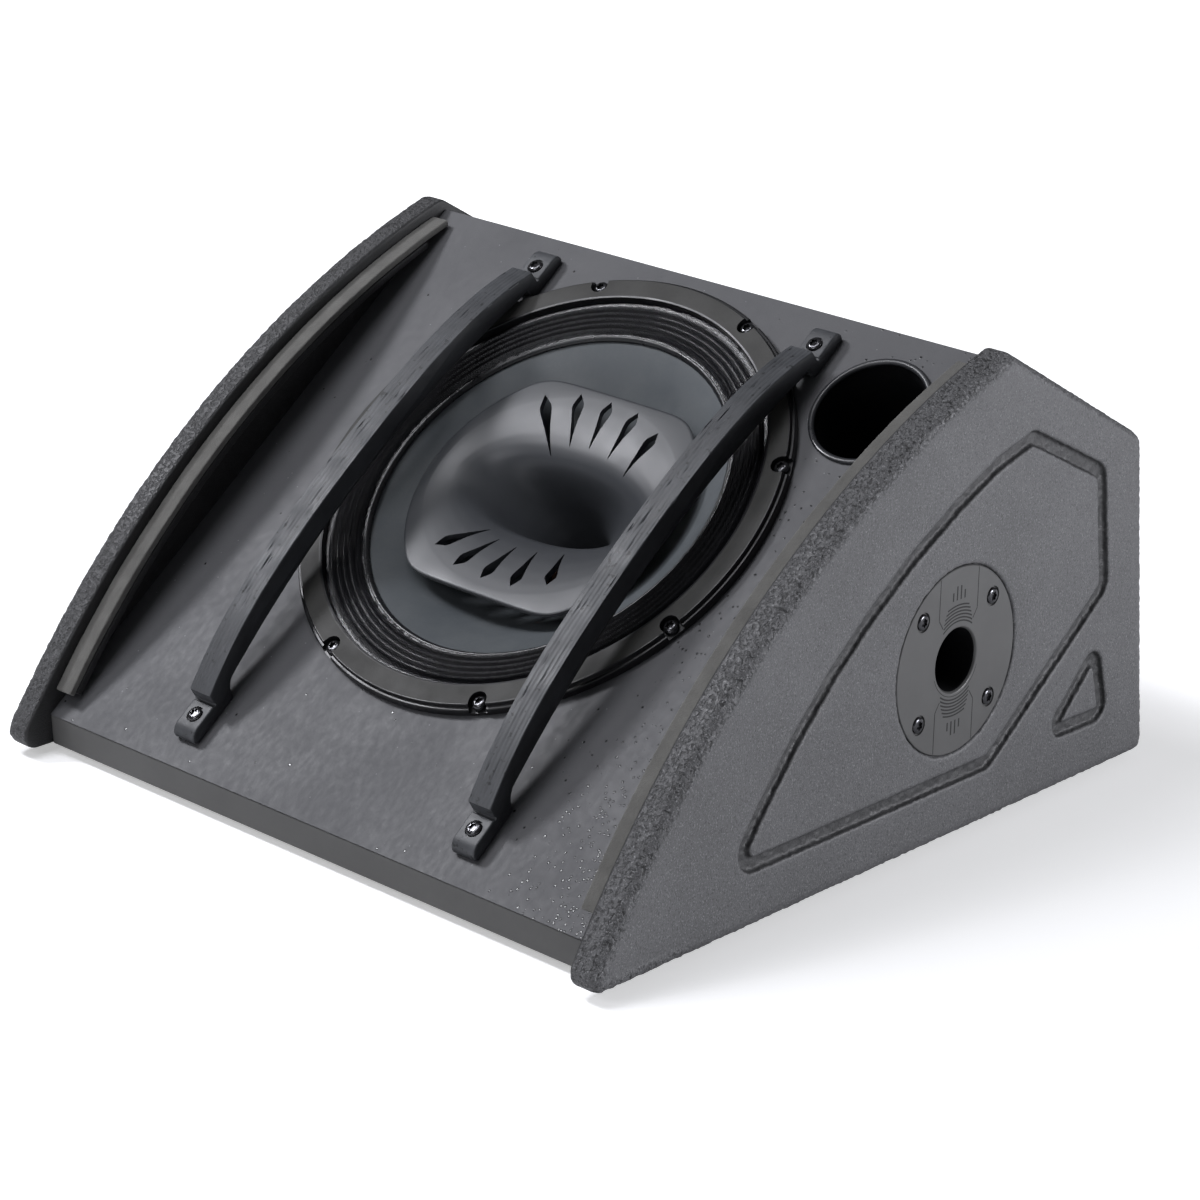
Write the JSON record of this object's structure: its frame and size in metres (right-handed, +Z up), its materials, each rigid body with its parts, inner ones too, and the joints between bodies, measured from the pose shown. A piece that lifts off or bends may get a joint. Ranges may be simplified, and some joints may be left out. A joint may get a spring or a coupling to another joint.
{
  "type": "wedge stage monitor loudspeaker",
  "caption": "Low-profile wedge stage monitor with its grille off: coaxial woofer and horn, reflex port, curved grille bars, side pole socket and rear amplifier panel.",
  "frame": {"origin": "on the floor, under the middle of the bounding box", "axes": "+X towards the side with the pole socket, +Y from the baffle to the rear, +Z up"},
  "size_m": [0.47, 0.4956, 0.2818],
  "materials": {
    "texture_paint": "pebbled black water-based textured paint over plywood",
    "satin_paint": "smooth satin charcoal paint over plywood",
    "bar_stain": "black-stained plywood edge, ribbed by its plies",
    "grey_foam": "open-cell grey foam tape",
    "foot_rubber": "moulded black rubber",
    "black_plastic": "black moulded plastic",
    "knob_plastic": "satin black plastic",
    "port_plastic": "black moulded plastic",
    "amp_plate": "black powder coat",
    "heat_sink": "black anodised extrusion",
    "circuit_board": "green solder mask",
    "bare_steel": "zinc-plated steel",
    "frame_paint": "olive-black satin paint on die-cast metal",
    "doped_cloth": "pleated cloth with glossy black doping",
    "cone_paper": "coated blue-grey paper pulp",
    "spider_cloth": "resin-treated corrugated cloth",
    "copper_coil": "enamelled copper winding on its former",
    "ferrite": "unpainted ferrite ring",
    "horn_plastic": "satin charcoal moulded plastic",
    "black_metal": "black paint",
    "titanium_film": "thin bright metal film",
    "pole_plate_metal": "satin black metal with engraved marks",
    "black_screw": "blackened steel, slightly glossy",
    "wadding": "polyester acoustic wadding",
    "cable_jacket": "black cable jacket"
  },
  "bodies": {
    "cabinet": {"right_side_panel": "texture_paint", "left_side_panel": "texture_paint", "bottom_panel": "satin_paint", "baffle": "satin_paint", "top_rear_panel": "texture_paint", "rear_panel": "texture_paint", "front_left_foot": "foot_rubber", "front_right_foot": "foot_rubber", "rear_left_foot": "foot_rubber", "rear_right_foot": "foot_rubber", "carry_handle": "black_plastic", "amp_panel": "amp_plate", "heat_sink": "heat_sink", "amp_board": "circuit_board", "input_xlr": "black_plastic", "link_xlr": "black_plastic", "power_inlet": "black_plastic", "port_tube": "port_plastic", "left_grille_bar": "bar_stain", "right_grille_bar": "bar_stain", "left_foam_strip": "grey_foam", "right_foam_strip": "grey_foam", "woofer_frame": "frame_paint", "woofer_surround": "doped_cloth", "woofer_spider": "spider_cloth", "top_plate": "bare_steel", "magnet": "ferrite", "pole_piece": "bare_steel", "horn": "horn_plastic", "hf_driver": "black_metal", "pole_plate": "pole_plate_metal", "damping_pad": "wadding", "speaker_cable": "cable_jacket", "frame_screw_1": "black_screw", "frame_screw_2": "black_screw", "frame_screw_3": "black_screw", "frame_screw_4": "black_screw", "frame_screw_5": "black_screw", "frame_screw_6": "black_screw", "frame_screw_7": "black_screw", "frame_screw_8": "black_screw", "amp_screw_1": "bare_steel", "pole_plate_screw_1": "black_screw", "amp_screw_2": "bare_steel", "pole_plate_screw_2": "black_screw", "amp_screw_3": "bare_steel", "pole_plate_screw_3": "black_screw", "amp_screw_4": "bare_steel", "pole_plate_screw_4": "black_screw", "left_bar_screw_lower": "black_screw", "left_bar_screw_upper": "black_screw", "right_bar_screw_lower": "black_screw", "right_bar_screw_upper": "black_screw"},
    "woofer_moving": {"woofer_cone": "cone_paper", "voice_coil": "copper_coil"},
    "tweeter_moving": {"hf_diaphragm": "titanium_film"},
    "level_knob_body": {"level_knob": "knob_plastic"},
    "rocker_body": {"power_rocker": "knob_plastic"},
    "preset_button_body": {"preset_button": "knob_plastic"},
    "latch_body": {"input_latch": "bare_steel"}
  },
  "joints": [
    {"name": "woofer_travel", "type": "slide", "parent": "cabinet", "child": "woofer_moving", "axis": [0, -0.6143, 0.7891], "range_m": [-0.005, 0.005], "stiffness_N_per_m": 3000, "deforming": ["woofer_surround", "woofer_spider"]},
    {"name": "tweeter_travel", "type": "slide", "parent": "cabinet", "child": "tweeter_moving", "axis": [0, -0.6143, 0.7891], "range_m": [-0.0003, 0.0003]},
    {"name": "level_knob_turn", "type": "hinge", "parent": "cabinet", "child": "level_knob_body", "pos_m": [-0.108, 0.21728, 0.12049], "axis": [0, 0.9952, 0.0976], "range_deg": [-140, 140]},
    {"name": "power_rocker_tilt", "type": "hinge", "parent": "cabinet", "child": "rocker_body", "pos_m": [-0.139, 0.21877, 0.06436], "axis": [-1, 0, 0], "range_deg": [-16, 0]},
    {"name": "preset_button_press", "type": "slide", "parent": "cabinet", "child": "preset_button_body", "axis": [0, -0.9952, -0.0976], "range_m": [0, 0.002]},
    {"name": "input_latch_press", "type": "slide", "parent": "cabinet", "child": "latch_body", "axis": [0, -0.9952, -0.0976], "range_m": [0, 0.0015]}
  ]
}
